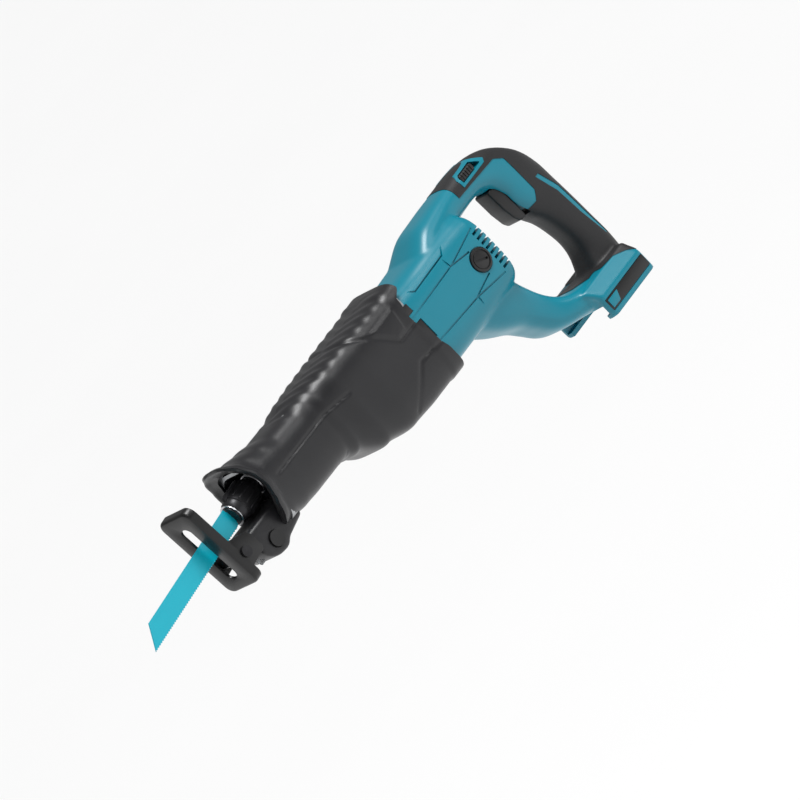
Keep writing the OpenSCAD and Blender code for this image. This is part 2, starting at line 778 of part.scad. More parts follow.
module grip_half(side) {
  color([0.17, 0.17, 0.18]) half(side) difference() {
    intersection() {
      shell_form(0);
      across(200) handle_zone();
    }
    shell_core(seat_gap);
    foot_keep(seat_gap);
    block([x_trig + 8, x_switch - 2], [-trigger_w / 2 - move_gap, trigger_w / 2 + move_gap],
      [trig_z - move_gap, trig_z + trigger_h + move_gap]);
    lock_cut(move_gap);
    screw_holes();
  }
}

module grip_left() { grip_half(1); }

module grip_right() { grip_half(-1); }

module housing_screws() {
  color([0.7, 0.7, 0.72]) for (p = screw_posts()) {
    rod_y(p[0], p[1], -9.5, 8, 1.9);
    rod_y(p[0], p[1], -9.2, -12, 3.5);
  }
}

// ---- controls, battery foot and leads ----

module trigger() {
  color([0.16, 0.16, 0.17]) difference() {
    union() {
      across(trigger_w) polygon([[x_trig + 10, trig_z + trigger_h], [x_trig + 9, trig_z + 18],
        [x_trig + 7, trig_z + 6], [x_trig + 4, trig_z + 1], [x_trig, trig_z],
        [x_trig - 4, trig_z], [x_trig - 4, trig_z + trigger_h]]);
      translate([0, 0, trig_z + trigger_h / 2]) rod_x(x_trig - 3, x_trig - 26, 3);
    }
    for (s = [-1, 1]) rod_y(x_trig + 26, trig_z + 20, s * 5, s * 20, 17);
  }
}

lock_x = x_grip + 18;
lock_z = handle_top - 9;

module lock_cut(gap) {
  block([lock_x - gap, lock_x + lock_len + gap], [-60, 60], [lock_z - gap, lock_z + lock_h + gap]);
}

module lock_off_button() {
  color([0.15, 0.15, 0.16]) difference() {
    block([lock_x, lock_x + lock_len], [-grip_w / 2 - 3, grip_w / 2 + 3], [lock_z, lock_z + lock_h]);
    block([lock_x + 5, lock_x + lock_len - 5], [-4, 4], [lock_z - 1, lock_z + 2]);
  }
}

module switch_unit() {
  z0 = trig_z + 4;
  z1 = trig_z + trigger_h - 4;
  color([0.13, 0.13, 0.14]) difference() {
    union() {
      block([x_switch - 8, x_switch - 26], [-10.5, 10.5], [z0, z1]);
      rod_y(x_switch - 17, z0 - 1, -6, 6, 5);
    }
    translate([0, 0, trig_z + trigger_h / 2]) rod_x(x_switch, x_switch - 22, 3 + move_gap);
  }
}

module terminal_block() {
  color([0.1, 0.1, 0.11]) block([x_rear + 21, x_rear + 51], [-15, 15],
    [z_foot + rail_depth, z_foot + rail_depth + 8.8]);
}

module terminals() {
  color([0.8, 0.72, 0.4]) for (y = [-11, 0, 11])
    block([x_rear + 26, x_rear + 46], [y - 0.5, y + 0.5], [z_foot + rail_depth - 8, z_foot + rail_depth]);
}

module lead(points) {
  for (i = [0:len(points) - 2]) hull() {
    translate(points[i]) sphere(lead_d / 2, $fn = 12);
    translate(points[i + 1]) sphere(lead_d / 2, $fn = 12);
  }
}

module power_leads() {
  z_block = z_foot + rail_depth + 8.8 + lead_d / 2;
  z_sw = trig_z + 3;
  for (y = [-4, 4]) color(y < 0 ? [0.6, 0.1, 0.1] : [0.1, 0.1, 0.12]) {
    lead([[x_rear + 30, y, z_block], [x_rear + 20.5, y, z_floor + 1], [x_rear + 18, y, z_floor + 18],
      [x_rear + 8.5, y, -66], [x_rear + 8.5, y, -58], [x_switch - 17, y, z_sw - 7]]);
    lead([[x_switch - 20, y, z_sw + 32.5], [x_switch - 15, y, handle_top - 23], [x_switch - 6, y, handle_top - 13.5],
      [x_switch + 10, y, handle_top - 15], [x_switch + 20, y, handle_top - 19.5],
      [x_motor - 26, y, handle_top - 19.5], [x_motor - 4, y, 12], [x_brush + 8, y * 2.2, 11]]);
  }
}

module led_lens() {
  color([0.9, 0.92, 0.95]) translate([0, 0, led_z]) rod_x(led_x, led_x + 6.5, led_r);
}

module led_board() {
  color([0.1, 0.35, 0.15]) translate([0, 0, led_z]) rod_x(led_x - 1.6, led_x - 0.2, led_r - 0.4);
}

// ---- shoe ----

module shoe_holder() {
  color([0.35, 0.35, 0.37]) on_blade_line() difference() {
    union() {
      block([pin_x, -bar_len], [-holder_w / 2, holder_w / 2], [bar_z, bar_z + bar_t]);
      rod_y(pin_x, pin_z, -shoe_w / 2 + shoe_t + 1, shoe_w / 2 - shoe_t - 1, pin_d / 2 + 3);
    }
    rod_y(pin_x, pin_z, -shoe_w, shoe_w, pin_d / 2);
    for (i = [0:4]) block([-38 - i * shoe_travel / 4, -41 - i * shoe_travel / 4],
      [-holder_w / 2 - 1, holder_w / 2 + 1], [bar_z - 1, bar_z + 1.4]);
  }
}

module shoe_pin() {
  color([0.75, 0.75, 0.77]) on_blade_line() {
    rod_y(pin_x, pin_z, -shoe_w / 2 - move_gap, shoe_w / 2 + move_gap, pin_d / 2);
    for (s = [-1, 1])
      rod_y(pin_x, pin_z, s * (shoe_w / 2 + move_gap), s * (shoe_w / 2 + move_gap + 1.6), pin_d / 2 + 1.8);
  }
}

module ear_outline() {
  polygon([[0, -2], [-8, -2], [-18, -6], [-ear_reach + 1, -10], [-ear_reach, -13], [-ear_reach, -27],
    [-ear_reach + 2, -30], [0, -30]]);
}

module shoe() {
  low = shoe_top - shoe_h;
  color([0.12, 0.12, 0.13]) on_blade_line() difference() {
    union() {
      intersection() {
        block([0, -ear_reach], [-shoe_w / 2, shoe_w / 2], [low, shoe_top]);
        along_x(1, -ear_reach - 1) rounded(shoe_w, low, shoe_top, 8);
        difference() {
          block([0, -ear_reach], [-shoe_w / 2, shoe_w / 2], [low, shoe_top]);
          block([-shoe_t, -ear_reach - 1], [-shoe_w / 2 + shoe_t, shoe_w / 2 - shoe_t], [low - 1, shoe_top + 1]);
          difference() {
            block([-8, -ear_reach - 1], [-shoe_w, shoe_w], [low - 1, shoe_top + 1]);
            across(2 * shoe_w) ear_outline();
          }
        }
      }
    }
    along_x(-shoe_t - 1, 1) rounded(slot_w, slot_low, slot_top, slot_w / 2 - 0.2);
    rod_y(pin_x, pin_z, -shoe_w, shoe_w, pin_d / 2 + run_gap);
  }
}

module shoe_button() {
  color([0.14, 0.14, 0.15]) difference() {
    rod_y(button_x, button_z, 6, chin_w / 2 + 2, button_r);
    rod_y(button_x, button_z, 5, 10, spring_r + 1);
  }
}

module shoe_button_spring() {
  color([0.75, 0.75, 0.75]) for (i = [0:2]) translate([button_x, 2.7 + i * 1.1, button_z]) rotate([90, 0, 0])
    rotate_extrude() translate([spring_r, 0]) circle(0.6, $fn = 16);
}

housing_left();
housing_right();
grip_left();
grip_right();
boot();
gear_housing();
gear_housing_screws();
housing_screws();
front_bush();
rear_bush();
rod_seal();
crank_bearing_upper();
crank_bearing_lower();
motor_bearing_front();
motor_bearing_rear();
motor_can();
magnets();
fan_baffle();
brush_holders();
carbon_brushes();
brush_cap_left();
brush_cap_right();
switch_unit();
terminal_block();
terminals();
power_leads();
led_lens();
led_board();
crank_gear();
crank_shaft();
crank_roller();
armature_shaft();
armature_core();
armature_windings();
commutator();
fan();
pinion();
plunger_rod();
crosshead();
blade_holder();
blade();
clamp_spring();
clamp_ring();
clamp_sleeve();
blade_pin();
shoe_holder();
shoe_pin();
shoe();
shoe_button();
shoe_button_spring();
trigger();
lock_off_button();
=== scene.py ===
import math

import bmesh
import bpy
from mathutils import Matrix, Vector


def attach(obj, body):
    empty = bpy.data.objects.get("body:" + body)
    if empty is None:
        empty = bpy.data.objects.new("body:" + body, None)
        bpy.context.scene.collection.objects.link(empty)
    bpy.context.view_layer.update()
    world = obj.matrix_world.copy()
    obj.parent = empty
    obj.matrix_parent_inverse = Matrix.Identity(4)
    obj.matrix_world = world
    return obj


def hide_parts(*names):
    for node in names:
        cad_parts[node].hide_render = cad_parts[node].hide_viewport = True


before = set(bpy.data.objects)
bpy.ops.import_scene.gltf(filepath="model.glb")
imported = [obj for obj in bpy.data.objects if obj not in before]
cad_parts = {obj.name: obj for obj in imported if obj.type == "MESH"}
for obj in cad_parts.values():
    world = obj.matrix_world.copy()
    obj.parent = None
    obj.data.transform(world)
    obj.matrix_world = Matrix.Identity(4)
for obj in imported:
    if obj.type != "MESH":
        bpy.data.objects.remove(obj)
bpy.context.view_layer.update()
mm = 0.001
tilt = Matrix.Rotation(math.radians(4), 4, "Y")  # the blade line leans nose down

camera = {"azimuth": 33.5, "elevation": 12.7, "roll": 44.3, "distance": 7.0, "lens": 400, "right": 0.1517, "up": 0.121}


def placeCamera():
    az, el, roll = (math.radians(camera[k]) for k in ("azimuth", "elevation", "roll"))
    back = Vector((math.cos(el) * math.sin(az), math.cos(el) * math.cos(az), math.sin(el)))
    level = Vector((-math.cos(az), math.sin(az), 0))
    rise = back.cross(level)
    right = level * math.cos(roll) - rise * math.sin(roll)
    up = level * math.sin(roll) + rise * math.cos(roll)
    turn = Matrix((right, up, back)).transposed().to_4x4()
    data = bpy.data.cameras.new("viewCamera")
    data.lens, data.sensor_width, data.clip_end = camera["lens"], 36, 60
    obj = bpy.data.objects.new("viewCamera", data)
    spot = back * camera["distance"] + right * camera["right"] + up * camera["up"]
    obj.matrix_world = Matrix.Translation(spot) @ turn
    bpy.context.scene.collection.objects.link(obj)
    bpy.context.scene.camera = obj


lights = {
    "keyLight": {"spot": (0.9, 2.0, 2.6), "size": 1.6, "power": 16},
    "stripLight": {"spot": (-1.6, 1.8, 1.4), "size": 0.9, "power": 10},
}


def placeLights():
    aim = Vector((-0.2, 0, -0.03))
    for name, light in lights.items():
        data = bpy.data.lights.new(name, "AREA")
        data.energy, data.size = light["power"], light["size"]
        obj = bpy.data.objects.new(name, data)
        obj.location = light["spot"]
        obj.rotation_euler = (aim - Vector(light["spot"])).to_track_quat("-Z", "Y").to_euler()
        bpy.context.scene.collection.objects.link(obj)
    sun = bpy.data.lights.new("softSun", "SUN")
    sun.energy, sun.angle = 2.7, math.radians(22)
    obj = bpy.data.objects.new("softSun", sun)
    obj.rotation_euler = Vector((0.25, -0.35, -1)).to_track_quat("-Z", "Y").to_euler()
    bpy.context.scene.collection.objects.link(obj)
    world = bpy.data.worlds.new("softStudio")
    world.use_nodes = True
    world.node_tree.nodes["Background"].inputs[0].default_value = (1, 1, 1, 1)
    world.node_tree.nodes["Background"].inputs[1].default_value = 0.3
    bpy.context.scene.world = world
    bpy.context.scene.view_settings.view_transform = "Standard"


def newGroup(name, numbers, outputs):
    group = bpy.data.node_groups.new(name, "ShaderNodeTree")
    for label in ("Colour", "Second colour"):
        group.interface.new_socket(label, in_out="INPUT", socket_type="NodeSocketColor")
    for label, value in numbers:
        group.interface.new_socket(label, in_out="INPUT", socket_type="NodeSocketFloat").default_value = value
    for label, kind in outputs:
        group.interface.new_socket(label, in_out="OUTPUT", socket_type=kind)
    return group, group.nodes.new("NodeGroupInput"), group.nodes.new("NodeGroupOutput")


def addNode(tree, kind, **sockets):
    node = tree.nodes.new(kind)
    for label, value in sockets.items():
        node.inputs[label.replace("_", " ")].default_value = value
    return node


def surfaceGroup(name, stretch):
    group, given, result = newGroup(name, [("Grain scale", 900), ("Blotch scale", 25), ("Rough low", 0.4),
                                           ("Rough high", 0.6), ("Wear", 0.2)],
                                    [("Colour", "NodeSocketColor"), ("Roughness", "NodeSocketFloat"),
                                     ("Height", "NodeSocketFloat")])
    link = group.links.new
    place = group.nodes.new("ShaderNodeTexCoord")
    mapping = addNode(group, "ShaderNodeMapping", Scale=stretch)
    grain = addNode(group, "ShaderNodeTexNoise", Detail=3, Roughness=0.6)
    blotch = addNode(group, "ShaderNodeTexNoise", Detail=5, Roughness=0.62)
    scuff = addNode(group, "ShaderNodeTexNoise", Detail=8, Roughness=0.75, Distortion=0.6)
    link(place.outputs["Object"], mapping.inputs["Vector"])
    link(mapping.outputs[0], grain.inputs["Vector"])
    link(given.outputs["Grain scale"], grain.inputs["Scale"])
    for node in (blotch, scuff):
        link(place.outputs["Object"], node.inputs["Vector"])
        link(given.outputs["Blotch scale"], node.inputs["Scale"])
    worn = addNode(group, "ShaderNodeMapRange", From_Min=0.56, From_Max=0.74)
    link(scuff.outputs["Fac"], worn.inputs["Value"])
    wornMask = group.nodes.new("ShaderNodeMath")
    wornMask.operation = "MULTIPLY"
    link(worn.outputs[0], wornMask.inputs[0])
    link(given.outputs["Wear"], wornMask.inputs[1])
    shade = addNode(group, "ShaderNodeMapRange", From_Min=0.3, From_Max=0.7)
    link(blotch.outputs["Fac"], shade.inputs["Value"])
    both = group.nodes.new("ShaderNodeMath")
    both.operation = "MAXIMUM"
    half = group.nodes.new("ShaderNodeMath")
    half.operation = "MULTIPLY"
    half.inputs[1].default_value = 0.35
    link(shade.outputs[0], half.inputs[0])
    link(half.outputs[0], both.inputs[0])
    link(wornMask.outputs[0], both.inputs[1])
    mix = group.nodes.new("ShaderNodeMix")
    mix.data_type = "RGBA"
    link(both.outputs[0], mix.inputs[0])
    link(given.outputs["Colour"], mix.inputs[6])
    link(given.outputs["Second colour"], mix.inputs[7])
    rough = group.nodes.new("ShaderNodeMapRange")
    link(both.outputs[0], rough.inputs["Value"])
    link(given.outputs["Rough low"], rough.inputs["To Min"])
    link(given.outputs["Rough high"], rough.inputs["To Max"])
    link(mix.outputs[2], result.inputs["Colour"])
    link(rough.outputs[0], result.inputs["Roughness"])
    link(grain.outputs["Fac"], result.inputs["Height"])
    return group


groups = {
    "moulded": surfaceGroup("mouldedSurface", (1, 1, 1)),
    "machined": surfaceGroup("machinedSurface", (0.12, 1, 1)),
}

# colour, second colour, grain scale, blotch scale, rough low and high, wear, bump, metallic, kind
finishes = {
    "teal_plastic": ((0.0, 0.19, 0.265), (0.0, 0.235, 0.32), 1500, 14, 0.3, 0.42, 0.12, 0.05, 0, "moulded"),
    "soft_grip": ((0.006, 0.006, 0.007), (0.018, 0.018, 0.02), 2100, 30, 0.48, 0.66, 0.25, 0.22, 0, "moulded"),
    "boot_rubber": ((0.006, 0.006, 0.0075), (0.018, 0.018, 0.021), 1700, 18, 0.33, 0.5, 0.3, 0.16, 0, "moulded"),
    "cast_alloy": ((0.42, 0.43, 0.44), (0.27, 0.28, 0.29), 700, 22, 0.42, 0.62, 0.4, 0.25, 1, "moulded"),
    "zinc_steel": ((0.62, 0.62, 0.64), (0.42, 0.42, 0.44), 900, 60, 0.25, 0.42, 0.3, 0.06, 1, "machined"),
    "bronze": ((0.55, 0.36, 0.16), (0.38, 0.24, 0.1), 800, 50, 0.3, 0.5, 0.3, 0.1, 1, "moulded"),
    "seal_rubber": ((0.015, 0.015, 0.015), (0.04, 0.04, 0.04), 1500, 60, 0.5, 0.7, 0.2, 0.1, 0, "moulded"),
    "bearing_steel": ((0.6, 0.6, 0.62), (0.45, 0.45, 0.47), 1200, 40, 0.15, 0.3, 0.2, 0.03, 1, "machined"),
    "gear_steel": ((0.36, 0.36, 0.38), (0.2, 0.19, 0.18), 1000, 40, 0.28, 0.5, 0.4, 0.1, 1, "machined"),
    "ferrite": ((0.05, 0.05, 0.055), (0.09, 0.09, 0.095), 900, 50, 0.55, 0.75, 0.3, 0.2, 0, "moulded"),
    "black_plastic": ((0.005, 0.005, 0.0055), (0.015, 0.015, 0.016), 1400, 30, 0.36, 0.5, 0.15, 0.08, 0, "moulded"),
    "brass_parts": ((0.72, 0.54, 0.25), (0.52, 0.37, 0.15), 900, 60, 0.25, 0.45, 0.3, 0.06, 1, "machined"),
    "carbon": ((0.03, 0.03, 0.03), (0.06, 0.06, 0.06), 1200, 90, 0.45, 0.65, 0.3, 0.15, 0, "machined"),
    "lead_sleeve": ((0.06, 0.012, 0.012), (0.1, 0.02, 0.02), 900, 50, 0.35, 0.5, 0.2, 0.05, 0, "moulded"),
    "clear_lens": ((0.72, 0.76, 0.8), (0.6, 0.64, 0.7), 600, 60, 0.06, 0.14, 0.2, 0.02, 0, "moulded"),
    "circuit_board": ((0.01, 0.09, 0.03), (0.02, 0.14, 0.05), 900, 90, 0.35, 0.5, 0.2, 0.05, 0, "moulded"),
    "copper": ((0.6, 0.26, 0.12), (0.42, 0.16, 0.08), 900, 60, 0.28, 0.45, 0.3, 0.12, 1, "machined"),
    "clamp_steel": ((0.02, 0.02, 0.022), (0.06, 0.06, 0.065), 1000, 45, 0.32, 0.5, 0.4, 0.08, 0.6, "machined"),
    "blade_paint": ((0.0, 0.40, 0.52), (0.0, 0.46, 0.58), 1300, 35, 0.3, 0.44, 0.25, 0.05, 0, "machined"),
    "shoe_steel": ((0.004, 0.004, 0.0045), (0.014, 0.014, 0.015), 1500, 40, 0.3, 0.48, 0.35, 0.1, 0.1, "moulded"),
    "floor": ((0.9, 0.9, 0.9), (0.91, 0.91, 0.91), 40, 2, 0.7, 0.8, 0.1, 0.01, 0, "moulded"),
}
materials = {}


def makeMaterial(name):
    if name in materials:
        return materials[name]
    colour, second, grain, blotch, low, high, wear, bumpStrength, metallic, kind = finishes[name]
    material = bpy.data.materials.new(name)
    material.use_nodes = True
    tree = material.node_tree
    shader = tree.nodes["Principled BSDF"]
    shader.inputs["Metallic"].default_value = metallic
    if name == "clear_lens":
        shader.inputs["Transmission Weight"].default_value = 0.85
    if name in ("soft_grip", "boot_rubber"):
        shader.inputs["Sheen Weight"].default_value = 0.03
    surface = tree.nodes.new("ShaderNodeGroup")
    surface.node_tree = groups[kind]
    values = {"Grain scale": grain, "Blotch scale": blotch, "Rough low": low, "Rough high": high, "Wear": wear}
    surface.inputs["Colour"].default_value = (*colour, 1)
    surface.inputs["Second colour"].default_value = (*second, 1)
    for label, value in values.items():
        surface.inputs[label].default_value = value
    bump = tree.nodes.new("ShaderNodeBump")
    bump.inputs["Strength"].default_value = bumpStrength
    bump.inputs["Distance"].default_value = 0.0006
    tree.links.new(surface.outputs["Colour"], shader.inputs["Base Color"])
    tree.links.new(surface.outputs["Roughness"], shader.inputs["Roughness"])
    tree.links.new(surface.outputs["Height"], bump.inputs["Height"])
    tree.links.new(bump.outputs[0], shader.inputs["Normal"])
    materials[name] = material
    return material


def keepMesh(name, bm, sharp=35):
    bmesh.ops.remove_doubles(bm, verts=bm.verts, dist=2e-6)
    bmesh.ops.recalc_face_normals(bm, faces=bm.faces)
    mesh = bpy.data.meshes.new(name)
    bm.to_mesh(mesh)
    bm.free()
    obj = bpy.data.objects.new(name, mesh)
    bpy.context.scene.collection.objects.link(obj)
    shadeSmooth(obj, sharp)
    return obj


def shadeSmooth(obj, sharp=35):
    obj.data.polygons.foreach_set("use_smooth", [True] * len(obj.data.polygons))
    obj.data.set_sharp_from_angle(angle=math.radians(sharp))


def settle(obj):
    bpy.context.view_layer.update()
    seen = obj.evaluated_get(bpy.context.evaluated_depsgraph_get())
    done = bpy.data.meshes.new_from_object(seen)
    obj.modifiers.clear()
    obj.data = done


def combine(obj, tool, operation="DIFFERENCE", keep=False):
    change = obj.modifiers.new("combine", "BOOLEAN")
    change.operation, change.object, change.solver = operation, tool, "EXACT"
    settle(obj)
    if not keep:
        bpy.data.objects.remove(tool)


def joined(name, pieces):
    whole = pieces[0]
    whole.name = name
    for piece in pieces[1:]:
        combine(whole, piece, "UNION")
    return whole


def finishPiece(obj, material, body, nodes=(), sharp=35):
    obj.data.materials.clear()
    obj.data.materials.append(makeMaterial(material))
    shadeSmooth(obj, sharp)
    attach(obj, body)
    if nodes:
        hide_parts(*nodes)


def bridgeRings(bm, rings, looped=False):
    loops = []
    for ring in rings:
        verts = [bm.verts.new(Vector(p) * mm) for p in ring]
        loops.append([bm.edges.new((verts[i - 1], verts[i])) for i in range(len(verts))])
    for front, rear in zip(loops, loops[1:] + (loops[:1] if looped else [])):
        bmesh.ops.bridge_loops(bm, edges=front + rear)
    if not looped:
        for loop in (loops[0], loops[-1]):
            bmesh.ops.holes_fill(bm, edges=loop, sides=0)


def polarRing(halfWide, halfTall, power, count):
    ring = []
    for i in range(count):
        c, s = math.cos(2 * math.pi * i / count), math.sin(2 * math.pi * i / count)
        reach = (abs(c / halfWide) ** power + abs(s / halfTall) ** power) ** (-1 / power)
        ring.append((reach * c, reach * s))
    return ring


def roundedRing(halfWide, halfTall, radius, perCorner=8):
    ring = []
    for k, (sy, sz) in enumerate(((1, 1), (-1, 1), (-1, -1), (1, -1))):
        for i in range(perCorner):
            a = math.radians(k * 90 + i * 90 / (perCorner - 1))
            y, z = sy * (halfWide - radius), sz * (halfTall - radius)
            ring.append((y + radius * math.cos(a), z + radius * math.sin(a)))
    return ring


def between(table, x):
    for a, b in zip(table, table[1:]):
        if x >= b[0]:
            t = min(max((a[0] - x) / (a[0] - b[0]), 0), 1)
            t = t * t * (3 - 2 * t)
            return [p + (q - p) * t for p, q in zip(a[1:], b[1:])]
    return list(table[-1][1:])


def extrudeSide(bm, outline, y0, y1, edge=0, segments=3):
    verts = [bm.verts.new((x * mm, y0 * mm, z * mm)) for x, z in outline]
    face = bm.faces.new(verts)
    grown = bmesh.ops.extrude_face_region(bm, geom=[face])
    moved = [g for g in grown["geom"] if isinstance(g, bmesh.types.BMVert)]
    bmesh.ops.translate(bm, verts=moved, vec=(0, (y1 - y0) * mm, 0))
    if edge:
        parts = set(verts + moved)
        rim = [e for e in bm.edges if e.verts[0] in parts and e.verts[1] in parts]
        bmesh.ops.bevel(bm, geom=rim, offset=edge * mm, offset_type="OFFSET", affect="EDGES", segments=segments,
                        profile=0.5, material=-1, clamp_overlap=True)


def sidePiece(name, outline, y0, y1, edge=0, segments=3):
    bm = bmesh.new()
    extrudeSide(bm, outline, y0, y1, edge, segments)
    return keepMesh(name, bm)


def blocks(name, boxes, edge=0):
    bm = bmesh.new()
    for (x0, x1), (y0, y1), (z0, z1) in boxes:
        extrudeSide(bm, [(x0, z0), (x1, z0), (x1, z1), (x0, z1)], y0, y1, edge, 2)
    return keepMesh(name, bm)


def roundBar(name, x, z, y0, y1, radius, edge=0, sides=48):
    outline = [(x + radius * math.cos(2 * math.pi * i / sides), z + radius * math.sin(2 * math.pi * i / sides))
               for i in range(sides)]
    return sidePiece(name, outline, y0, y1, edge, 2)


def turned(bm, profile, steps=64):
    verts = [bm.verts.new((x * mm, 0, r * mm)) for x, r in profile]
    edges = [bm.edges.new((verts[i - 1], verts[i])) for i in range(len(verts))]
    bmesh.ops.spin(bm, geom=verts + edges, axis=(1, 0, 0), cent=(0, 0, 0), dvec=(0, 0, 0), angle=2 * math.pi,
                   steps=steps, use_merge=True, use_duplicate=False)


def sweepRings(path, power=3.2, count=48):
    rings = []
    for i, (x, z, deep, wide) in enumerate(path):
        before, after = path[max(i - 1, 0)], path[min(i + 1, len(path) - 1)]
        along = Vector((after[0] - before[0], 0, after[1] - before[1])).normalized()
        across = Vector((-along.z, 0, along.x))
        rings.append([(x + across.x * v, u, z + across.z * v) for u, v in polarRing(wide, deep, power, count)])
    return rings


def smoothPath(path, pieces=5):
    done = []
    for i in range(len(path) - 1):
        p = [path[max(i - 1, 0)], path[i], path[i + 1], path[min(i + 2, len(path) - 1)]]
        for k in range(pieces):
            t = k / pieces
            done.append(tuple(0.5 * (2 * b + (c - a) * t + (2 * a - 5 * b + 4 * c - d) * t * t
                                     + (3 * b - a - 3 * c + d) * t ** 3) for a, b, c, d in zip(*p)))
    return done + [tuple(path[-1])]


boot = {
    "count": 176, "step": 1.5, "front": -64, "rear": -274, "wall": 2.5, "ribPitch": 13, "ribDepth": 0.4,
    # station, half width, underside, top, squareness
    "stations": [(-60, 33.5, -33, 39.5, 2.35), (-66, 33, -33.5, 36.5, 2.45), (-76, 31.6, -35.5, 32.5, 2.8),
                 (-90, 31, -37.2, 29, 3.1), (-106, 30.6, -38, 26, 3.1), (-132, 30.8, -38.2, 25.6, 3.1),
                 (-146, 31.4, -38.8, 28, 3.1), (-156, 33, -44, 28, 3.4), (-180, 36, -58, 27.6, 4.4),
                 (-210, 37.8, -65.6, 27.4, 4.9), (-240, 38, -67, 27.4, 5.0), (-290, 38, -67, 27.2, 5.0)],
    "rimLean": [(42, 10), (36, 8.5), (28, 4.5), (16, 1), (5, 0), (-6, 2), (-14, 4), (-24, 4), (-40, 2)],
    "rearEdge": [(40, -7), (20, -8), (13, 2), (-4, 6), (-12, 5), (-32, 0), (-46, -3), (-70, -6)],
    "rearInset": 1.4, "wallStations": (-270, -240, -210, -180, -156, -130, -92),
    # station and inset inside the collar
    "collar": [(-90, 8), (-66.5, 8), (-65.5, 5), (-64.6, 3.2), (-63.6, 2.2), (-63.2, 1.1)],
    "chin": [(-27, -12), (-27, -33), (-31, -39.5), (-37, -43.5), (-44, -45), (-51, -45), (-57, -41), (-80, -36.5),
             (-80, -12)],
    "chinHalf": 17.5, "boreRadius": 16.6, "boreRear": -84, "boreFront": -20,
    "barSlot": [(-108, -27.6), (-10, -27.6), (-10, -20.4), (-108, -20.4)], "barSlotHalf": 9.6,
    "ledZ": -38, "ledRadius": 3.7,
    "panel": [(-229, 13.5), (-263, 14.5), (-258, -6), (-247, -7.5)],
    "lines": [[(-200, 34), (-225.7, 13.5), (-247, -9), (-268, -9)], [(-214, -58), (-247, -33), (-280, -36)],
              [(-80, 2.4), (-150, 2.4), (-178, -2)]],
}


def distanceToLine(x, z, line):
    best = 99
    for (ax, az), (bx, bz) in zip(line, line[1:]):
        t = min(max(((x - ax) * (bx - ax) + (z - az) * (bz - az)) / ((bx - ax) ** 2 + (bz - az) ** 2), 0), 1)
        best = min(best, math.hypot(x - ax - t * (bx - ax), z - az - t * (bz - az)))
    return best


def insideBy(x, z, outline):
    depth = 99
    for i, (ax, az) in enumerate(outline):
        bx, bz = outline[(i + 1) % len(outline)]
        depth = min(depth, ((bx - ax) * (z - az) - (bz - az) * (x - ax)) / math.hypot(bx - ax, bz - az))
    return depth


def ease(value, start, end):
    t = min(max((value - start) / (end - start), 0), 1)
    return t * t * (3 - 2 * t)


def bootDetail(station, x, z, angle):
    top = ease(math.sin(angle), 0.72, 0.9)
    ribs = ease(-x, 118, 132) * ease(x, -283, -262) * top
    rise = boot["ribDepth"] * ribs * math.cos(2 * math.pi * (x + 0.45 * abs(math.cos(angle)) * 40) / boot["ribPitch"])
    panel = boot["panel"] if insideBy(-245, 5, boot["panel"]) > 0 else boot["panel"][::-1]
    rise += 1.1 * ease(insideBy(x, z, panel), -0.2, 1.3)
    for line in boot["lines"]:
        rise -= 0.9 * (1 - ease(distanceToLine(x, z, line), 0.5, 1.8))
    rise += 1.7 * (1 - ease(-station, 66.5, 70.5))
    rise += 1.0 * ease(-x, 262, 268) * (1 - ease(-x, 290, 291))
    return rise


def bootRing(station, inset):
    wide, low, high, power = between(boot["stations"], station)
    middle = (low + high) / 2
    ring = []
    for i, (y, z) in enumerate(polarRing(wide - inset, (high - low) / 2 - inset, power, boot["count"])):
        angle = 2 * math.pi * i / boot["count"]
        z += middle
        lean = between(boot["rimLean"], z)[0]
        x = station + lean * (1 - ease(-station, 64, 98))
        edge = between(boot["rearEdge"], z)[0]
        x += edge * ease(-station, 246, 274)
        rise = bootDetail(station, x, z, angle) if inset == 0 else 0
        ring.append((x, y + rise * math.cos(angle), z + rise * math.sin(angle)))
    return ring


def makeBoot():
    print("boot")
    bm = bmesh.new()
    count = int((boot["front"] - boot["rear"]) / boot["step"])
    outer = [bootRing(boot["front"] - i * boot["step"], 0) for i in range(count + 1)]
    inner = [bootRing(boot["rear"], boot["rearInset"])] + [bootRing(s, boot["wall"]) for s in boot["wallStations"]]
    inner += [bootRing(s, inset) for s, inset in boot["collar"]]
    bridgeRings(bm, outer + inner, looped=True)
    obj = keepMesh("rubberBoot", bm)
    chin = sidePiece("chinBlock", boot["chin"], -boot["chinHalf"], boot["chinHalf"], 3.5, 4)
    combine(obj, chin, "UNION")
    bm = bmesh.new()
    rear, front, radius = boot["boreRear"], boot["boreFront"], boot["boreRadius"]
    turned(bm, [(rear, 0), (rear, radius), (front, radius), (front, 0)])
    bmesh.ops.transform(bm, matrix=tilt, verts=bm.verts)
    combine(obj, keepMesh("clampBore", bm))
    bm = bmesh.new()
    extrudeSide(bm, boot["barSlot"], -boot["barSlotHalf"], boot["barSlotHalf"])
    bmesh.ops.transform(bm, matrix=tilt, verts=bm.verts)
    combine(obj, keepMesh("shoeBarSlot", bm))
    combine(obj, roundBar("buttonHole", -45, -32.5, 2, 40, 7.5))
    bm = bmesh.new()
    turned(bm, [(-38, 0), (-38, boot["ledRadius"]), (0, boot["ledRadius"]), (0, 0)], 32)
    bmesh.ops.translate(bm, verts=bm.verts, vec=(0, 0, boot["ledZ"] * mm))
    combine(obj, keepMesh("ledHole", bm))
    finishPiece(obj, "boot_rubber", "root", ["boot"], 40)


